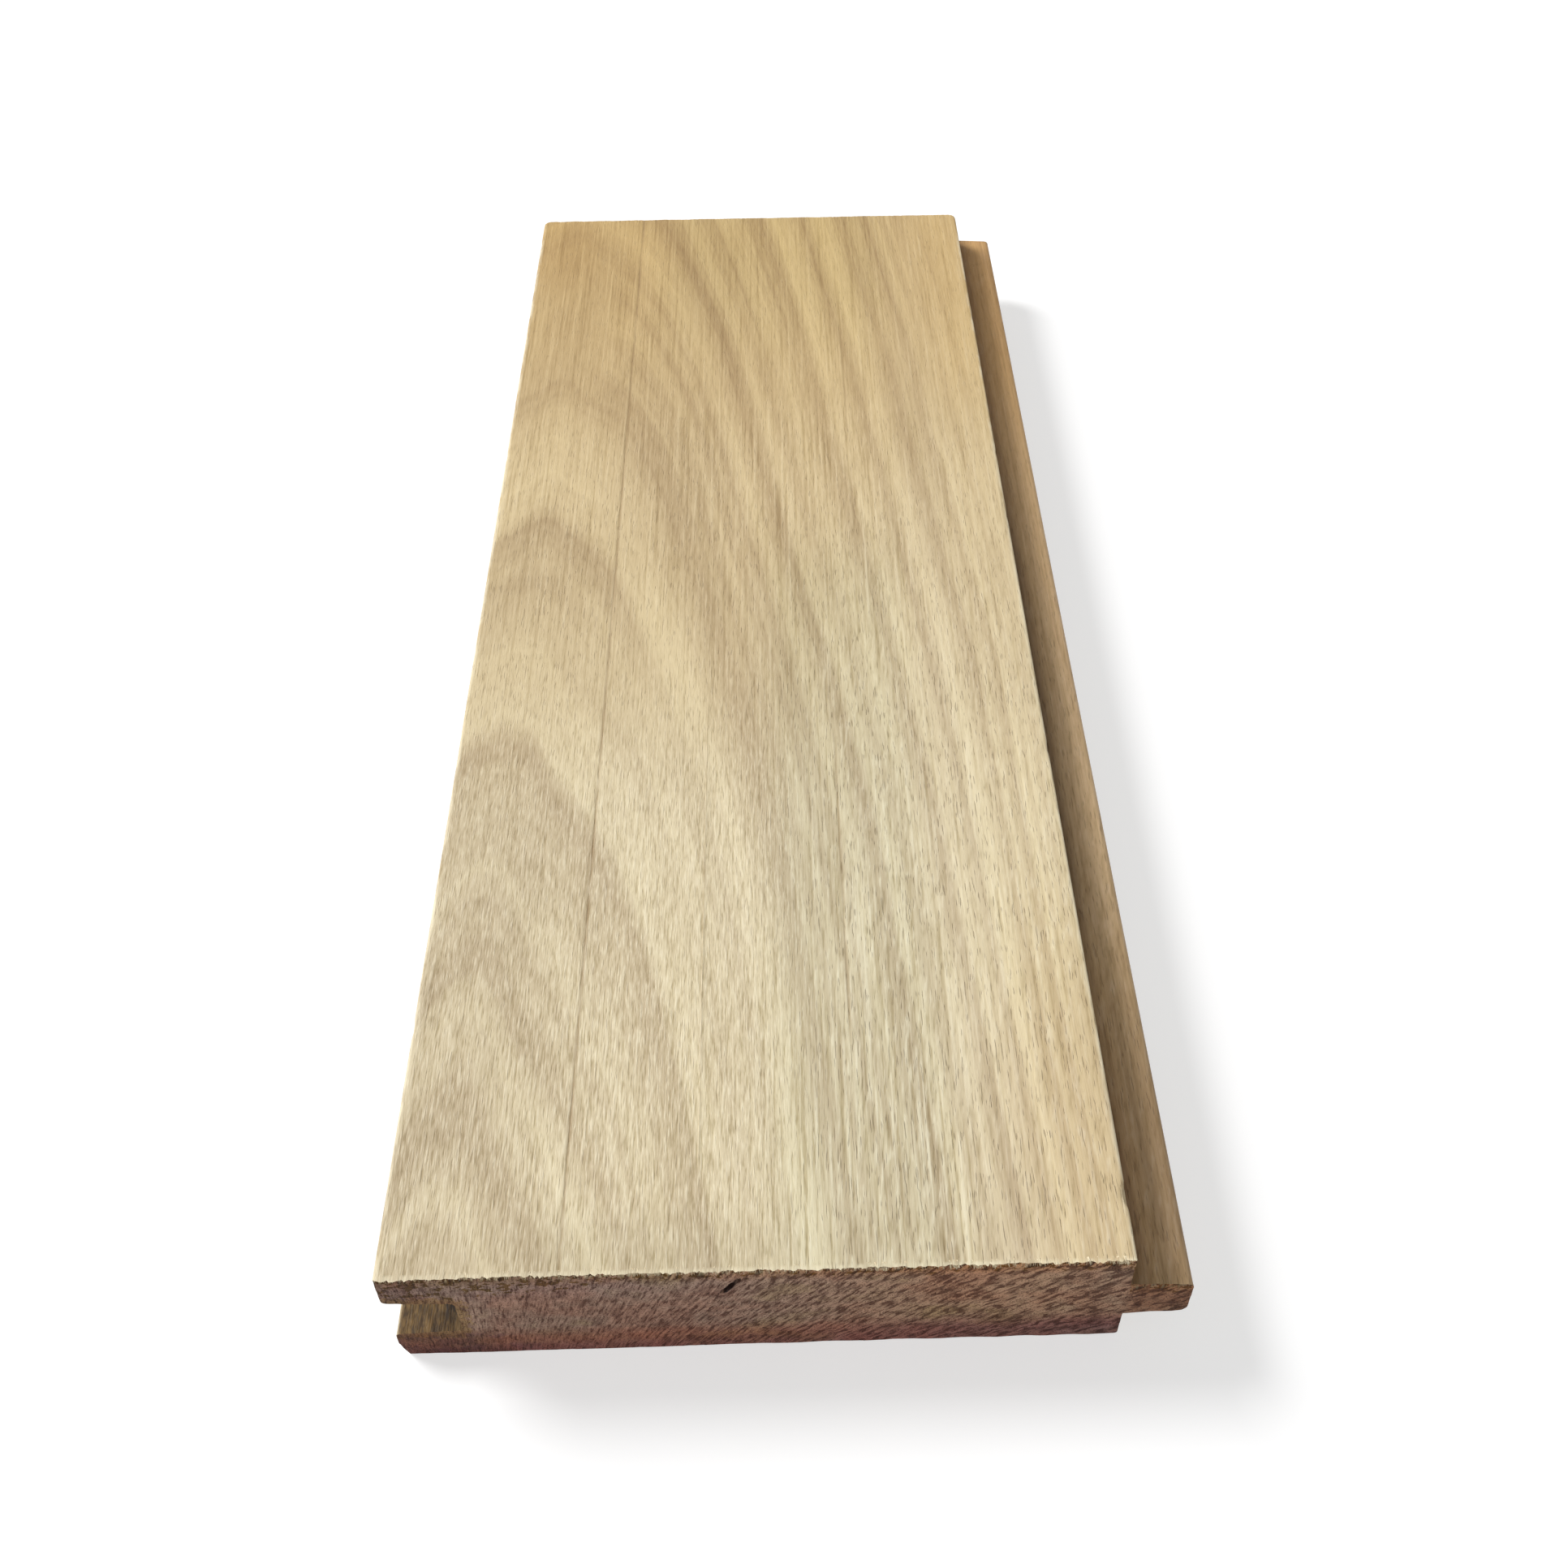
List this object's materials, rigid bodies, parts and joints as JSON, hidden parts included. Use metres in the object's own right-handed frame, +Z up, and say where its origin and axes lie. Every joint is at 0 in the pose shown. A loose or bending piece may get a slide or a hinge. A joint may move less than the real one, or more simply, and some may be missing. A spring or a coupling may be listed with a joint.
{
  "type": "tongue-and-groove floorboard",
  "caption": "Short length of solid hardwood floorboard, planed flat, with a tongue along one long edge and a matching groove along the other.",
  "frame": {"origin": "centre of the bounding box, tongue included, at the underside", "axes": "+X across the board from the groove to the tongue, +Y along the grain, +Z up out of the face"},
  "size_m": [0.1, 0.25, 0.02],
  "materials": {
    "hardwood": "matte"
  },
  "bodies": {
    "root": {"floorboard": "hardwood"}
  },
  "joints": []
}
